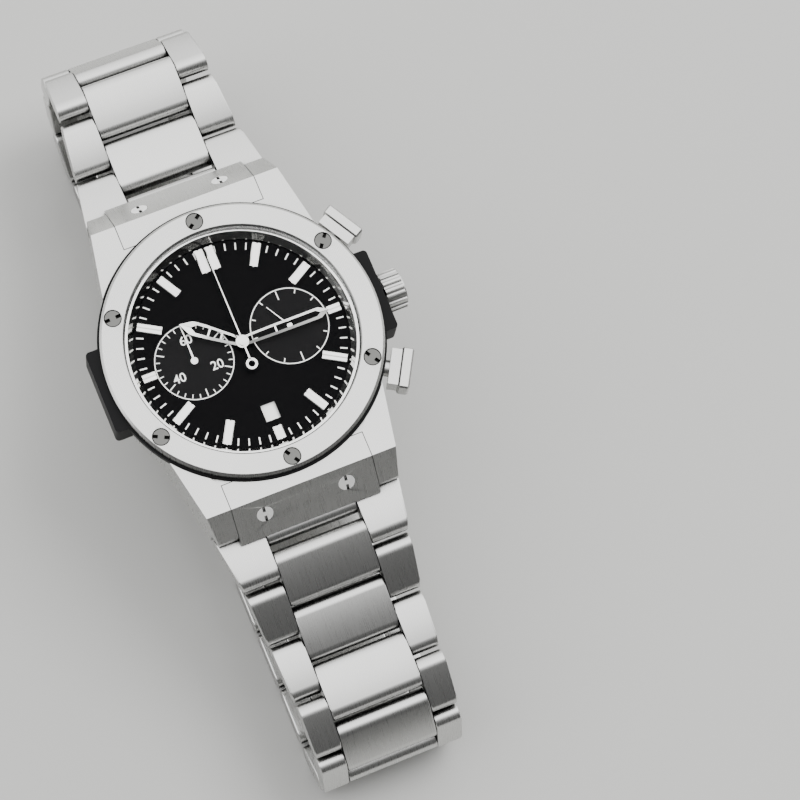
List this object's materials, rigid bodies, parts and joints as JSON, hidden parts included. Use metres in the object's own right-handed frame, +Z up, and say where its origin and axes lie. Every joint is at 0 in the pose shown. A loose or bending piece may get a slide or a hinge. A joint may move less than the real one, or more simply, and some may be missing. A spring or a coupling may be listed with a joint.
{
  "type": "chronograph wristwatch",
  "caption": "Round steel chronograph wristwatch with two sub-dials, crown and pushers, on a closed three-column link bracelet with a folding clasp.",
  "frame": {"origin": "on the underside of the clasp cover, under the dial's centre", "axes": "+Z up and square to the dial, +X towards 3 o'clock (the crown), +Y towards 12 o'clock, along the bracelet"},
  "size_m": [0.047, 0.1146, 0.0356],
  "materials": {
    "brushed_steel": "satin brushed steel",
    "polished_steel": "polished",
    "screw_steel": "polished, lightly scratched",
    "black_resin": "matt moulded",
    "sapphire": "clear",
    "dial_black": "black lacquer",
    "date_white": "matt white",
    "movement_brass": "gilt",
    "movement_steel": "rhodium"
  },
  "bodies": {
    "case": {"case_middle": "brushed_steel", "resin_insert": "black_resin", "bezel": "brushed_steel", "bezel_screws": "screw_steel", "crystal": "sapphire", "flange_ring": "polished_steel", "dial": "dial_black", "hour_markers": "polished_steel", "main_plate": "movement_brass", "movement_bridges": "movement_steel", "movement_holder": "black_resin", "caseback": "brushed_steel", "caseback_glass": "sapphire", "caseback_screws": "screw_steel", "end_piece_12": "brushed_steel", "end_piece_6": "brushed_steel", "end_piece_screws": "screw_steel"},
    "outer_links_12_1": {"outer_links_12_1": "brushed_steel"},
    "centre_link_12_1": {"centre_link_12_1": "brushed_steel"},
    "outer_links_12_2": {"outer_links_12_2": "brushed_steel"},
    "centre_link_12_2": {"centre_link_12_2": "brushed_steel"},
    "outer_links_12_3": {"outer_links_12_3": "brushed_steel"},
    "centre_link_12_3": {"centre_link_12_3": "brushed_steel"},
    "outer_links_12_4": {"outer_links_12_4": "brushed_steel"},
    "centre_link_12_4": {"centre_link_12_4": "brushed_steel"},
    "outer_links_12_5": {"outer_links_12_5": "brushed_steel"},
    "centre_link_12_5": {"centre_link_12_5": "brushed_steel"},
    "outer_links_12_6": {"outer_links_12_6": "brushed_steel"},
    "centre_link_12_6": {"centre_link_12_6": "brushed_steel"},
    "flat_row_12_1": {"flat_row_12_1": "brushed_steel"},
    "flat_row_12_2": {"flat_row_12_2": "brushed_steel"},
    "flat_row_12_3": {"flat_row_12_3": "brushed_steel"},
    "outer_links_6_1": {"outer_links_6_1": "brushed_steel"},
    "centre_link_6_1": {"centre_link_6_1": "brushed_steel"},
    "outer_links_6_2": {"outer_links_6_2": "brushed_steel"},
    "centre_link_6_2": {"centre_link_6_2": "brushed_steel"},
    "outer_links_6_3": {"outer_links_6_3": "brushed_steel"},
    "centre_link_6_3": {"centre_link_6_3": "brushed_steel"},
    "outer_links_6_4": {"outer_links_6_4": "brushed_steel"},
    "centre_link_6_4": {"centre_link_6_4": "brushed_steel"},
    "outer_links_6_5": {"outer_links_6_5": "brushed_steel"},
    "centre_link_6_5": {"centre_link_6_5": "brushed_steel"},
    "outer_links_6_6": {"outer_links_6_6": "brushed_steel"},
    "flat_row_6_1": {"flat_row_6_1": "brushed_steel"},
    "flat_row_6_2": {"flat_row_6_2": "brushed_steel"},
    "flat_row_6_3": {"flat_row_6_3": "brushed_steel"},
    "clasp_inner_blade": {"clasp_inner_blade": "brushed_steel"},
    "clasp_middle_blade": {"clasp_middle_blade": "brushed_steel"},
    "clasp_cover": {"clasp_cover": "brushed_steel"},
    "minute_hand": {"minute_hand": "polished_steel"},
    "hour_hand": {"hour_hand": "polished_steel"},
    "chrono_seconds_hand": {"chrono_seconds_hand": "polished_steel"},
    "small_seconds_hand": {"small_seconds_hand": "polished_steel"},
    "counter_hand": {"counter_hand": "polished_steel"},
    "date_disc": {"date_disc": "date_white"},
    "rotor": {"rotor": "movement_steel"},
    "mainspring_barrel": {"mainspring_barrel": "movement_brass"},
    "balance_wheel": {"balance_wheel": "movement_brass"},
    "winding_stem": {"winding_stem": "brushed_steel"},
    "crown": {"crown": "brushed_steel"},
    "pusher_2": {"pusher_2": "brushed_steel"},
    "pusher_4": {"pusher_4": "brushed_steel"}
  },
  "joints": [
    {"name": "hinge_12_1", "type": "hinge", "parent": "case", "child": "outer_links_12_1", "pos_m": [0, 0.0266, 0.0263], "axis": [1, 0, 0], "range_deg": [0, 23]},
    {"name": "hinge_12_2", "type": "hinge", "parent": "outer_links_12_1", "child": "centre_link_12_1", "pos_m": [0, 0.03102, 0.02545], "axis": [1, 0, 0], "range_deg": [0, 12]},
    {"name": "hinge_12_3", "type": "hinge", "parent": "centre_link_12_1", "child": "outer_links_12_2", "pos_m": [0, 0.03551, 0.02568], "axis": [1, 0, 0], "range_deg": [0, 12]},
    {"name": "hinge_12_4", "type": "hinge", "parent": "outer_links_12_2", "child": "centre_link_12_2", "pos_m": [0, 0.03988, 0.02677], "axis": [1, 0, 0], "range_deg": [0, 13]},
    {"name": "hinge_12_5", "type": "hinge", "parent": "centre_link_12_2", "child": "outer_links_12_3", "pos_m": [0, 0.04426, 0.02778], "axis": [1, 0, 0], "range_deg": [0, 57]},
    {"name": "hinge_12_6", "type": "hinge", "parent": "outer_links_12_3", "child": "centre_link_12_3", "pos_m": [0, 0.04808, 0.0254], "axis": [1, 0, 0], "range_deg": [0, 40]},
    {"name": "hinge_12_7", "type": "hinge", "parent": "centre_link_12_3", "child": "outer_links_12_4", "pos_m": [0, 0.05033, 0.0215], "axis": [1, 0, 0], "range_deg": [0, 34]},
    {"name": "hinge_12_8", "type": "hinge", "parent": "outer_links_12_4", "child": "centre_link_12_4", "pos_m": [0, 0.05096, 0.01704], "axis": [1, 0, 0], "range_deg": [0, 22]},
    {"name": "hinge_12_9", "type": "hinge", "parent": "centre_link_12_4", "child": "outer_links_12_5", "pos_m": [0, 0.0508, 0.01255], "axis": [1, 0, 0], "range_deg": [0, 24]},
    {"name": "hinge_12_10", "type": "hinge", "parent": "outer_links_12_5", "child": "centre_link_12_5", "pos_m": [0, 0.04971, 0.00818], "axis": [1, 0, 0], "range_deg": [0, 28]},
    {"name": "hinge_12_11", "type": "hinge", "parent": "centre_link_12_5", "child": "outer_links_12_6", "pos_m": [0, 0.04746, 0.00428], "axis": [1, 0, 0], "range_deg": [0, 42]},
    {"name": "hinge_12_12", "type": "hinge", "parent": "outer_links_12_6", "child": "centre_link_12_6", "pos_m": [0, 0.04356, 0.00203], "axis": [1, 0, 0], "range_deg": [0, 36.5]},
    {"name": "hinge_12_13", "type": "hinge", "parent": "centre_link_12_6", "child": "flat_row_12_1", "pos_m": [0, 0.03908, 0.0016], "axis": [1, 0, 0], "range_deg": [0, 17.5]},
    {"name": "hinge_12_14", "type": "hinge", "parent": "flat_row_12_1", "child": "flat_row_12_2", "pos_m": [0, 0.03008, 0.0016], "axis": [1, 0, 0], "range_deg": [0, 12]},
    {"name": "hinge_12_15", "type": "hinge", "parent": "flat_row_12_2", "child": "flat_row_12_3", "pos_m": [0, 0.02108, 0.0016], "axis": [1, 0, 0], "range_deg": [0, 12]},
    {"name": "hinge_6_1", "type": "hinge", "parent": "case", "child": "outer_links_6_1", "pos_m": [0, -0.0266, 0.0263], "axis": [1, 0, 0], "range_deg": [-17, 0]},
    {"name": "hinge_6_2", "type": "hinge", "parent": "outer_links_6_1", "child": "centre_link_6_1", "pos_m": [0, -0.03108, 0.02591], "axis": [1, 0, 0], "range_deg": [-35, 0]},
    {"name": "hinge_6_3", "type": "hinge", "parent": "centre_link_6_1", "child": "outer_links_6_2", "pos_m": [0, -0.03506, 0.0238], "axis": [1, 0, 0], "range_deg": [-17, 0]},
    {"name": "hinge_6_4", "type": "hinge", "parent": "outer_links_6_2", "child": "centre_link_6_2", "pos_m": [0, -0.03883, 0.02135], "axis": [1, 0, 0], "range_deg": [-12, 0]},
    {"name": "hinge_6_5", "type": "hinge", "parent": "centre_link_6_2", "child": "outer_links_6_3", "pos_m": [0, -0.04306, 0.01981], "axis": [1, 0, 0], "range_deg": [-12, 0]},
    {"name": "hinge_6_6", "type": "hinge", "parent": "outer_links_6_3", "child": "centre_link_6_3", "pos_m": [0, -0.04752, 0.01918], "axis": [1, 0, 0], "range_deg": [-12, 0]},
    {"name": "hinge_6_7", "type": "hinge", "parent": "centre_link_6_3", "child": "outer_links_6_4", "pos_m": [0, -0.05199, 0.01871], "axis": [1, 0, 0], "range_deg": [-36, 0]},
    {"name": "hinge_6_8", "type": "hinge", "parent": "outer_links_6_4", "child": "centre_link_6_4", "pos_m": [0, -0.05589, 0.01646], "axis": [1, 0, 0], "range_deg": [-30, 0]},
    {"name": "hinge_6_9", "type": "hinge", "parent": "centre_link_6_4", "child": "outer_links_6_5", "pos_m": [0, -0.0589, 0.01312], "axis": [1, 0, 0], "range_deg": [-36, 0]},
    {"name": "hinge_6_10", "type": "hinge", "parent": "outer_links_6_5", "child": "centre_link_6_5", "pos_m": [0, -0.06029, 0.00884], "axis": [1, 0, 0], "range_deg": [-45, 0]},
    {"name": "hinge_6_11", "type": "hinge", "parent": "centre_link_6_5", "child": "outer_links_6_6", "pos_m": [0, -0.05912, 0.00449], "axis": [1, 0, 0], "range_deg": [-47, 0]},
    {"name": "hinge_6_12", "type": "hinge", "parent": "outer_links_6_6", "child": "flat_row_6_1", "pos_m": [0, -0.05568, 0.0016], "axis": [1, 0, 0], "range_deg": [-52, 0]},
    {"name": "hinge_6_13", "type": "hinge", "parent": "flat_row_6_1", "child": "flat_row_6_2", "pos_m": [0, -0.04668, 0.0016], "axis": [1, 0, 0], "range_deg": [-12, 0]},
    {"name": "hinge_6_14", "type": "hinge", "parent": "flat_row_6_2", "child": "flat_row_6_3", "pos_m": [0, -0.03768, 0.0016], "axis": [1, 0, 0], "range_deg": [-12, 0]},
    {"name": "clasp_pivot", "type": "hinge", "parent": "flat_row_6_3", "child": "clasp_inner_blade", "pos_m": [0, -0.02868, 0.0016], "axis": [1, 0, 0], "range_deg": [-12, 0]},
    {"name": "clasp_fold", "type": "hinge", "parent": "clasp_inner_blade", "child": "clasp_middle_blade", "pos_m": [0, 0.00723, 0.003], "axis": [1, 0, 0], "range_deg": [0, 110]},
    {"name": "clasp_cover_hinge", "type": "hinge", "parent": "clasp_middle_blade", "child": "clasp_cover", "pos_m": [0, -0.02478, 0.0022], "axis": [1, 0, 0], "range_deg": [-140, 0]},
    {"name": "minute_turn", "type": "hinge", "parent": "case", "child": "minute_hand", "pos_m": [0, 0, 0.032], "axis": [0, 0, -1], "continuous": true},
    {"name": "hour_turn", "type": "hinge", "parent": "case", "child": "hour_hand", "pos_m": [0, 0, 0.032], "axis": [0, 0, -1], "continuous": true},
    {"name": "chrono_seconds_turn", "type": "hinge", "parent": "case", "child": "chrono_seconds_hand", "pos_m": [0, 0, 0.032], "axis": [0, 0, -1], "continuous": true},
    {"name": "small_seconds_turn", "type": "hinge", "parent": "case", "child": "small_seconds_hand", "pos_m": [-0.0074, 0, 0.032], "axis": [0, 0, -1], "continuous": true},
    {"name": "counter_turn", "type": "hinge", "parent": "case", "child": "counter_hand", "pos_m": [0.0074, 0, 0.032], "axis": [0, 0, -1], "continuous": true},
    {"name": "date_turn", "type": "hinge", "parent": "case", "child": "date_disc", "pos_m": [0, 0, 0.032], "axis": [0, 0, -1], "continuous": true},
    {"name": "rotor_turn", "type": "hinge", "parent": "case", "child": "rotor", "pos_m": [0, 0, 0.02715], "axis": [0, 0, 1], "continuous": true},
    {"name": "barrel_turn", "type": "hinge", "parent": "case", "child": "mainspring_barrel", "pos_m": [-0.0054, 0.0048, 0.029], "axis": [0, 0, 1], "continuous": true},
    {"name": "balance_turn", "type": "hinge", "parent": "case", "child": "balance_wheel", "pos_m": [0.0062, -0.0054, 0.029], "axis": [0, 0, 1], "range_deg": [-270, 270]},
    {"name": "crown_pull", "type": "slide", "parent": "case", "child": "winding_stem", "axis": [1, 0, 0], "range_m": [0, 0.0018]},
    {"name": "crown_turn", "type": "hinge", "parent": "winding_stem", "child": "crown", "pos_m": [0.0222, 0, 0.0301], "axis": [1, 0, 0], "continuous": true},
    {"name": "pusher_2_press", "type": "slide", "parent": "case", "child": "pusher_2", "axis": [-0.866, -0.5, 0], "range_m": [0, 0.0008], "stiffness_N_per_m": 800},
    {"name": "pusher_4_press", "type": "slide", "parent": "case", "child": "pusher_4", "axis": [-0.866, 0.5, 0], "range_m": [0, 0.0008], "stiffness_N_per_m": 800}
  ],
  "couplings": [
    {"joint": "hour_turn", "follows": "minute_turn", "ratio": 0.083333},
    {"joint": "clasp_cover_hinge", "follows": "clasp_fold", "ratio": -1.25}
  ]
}
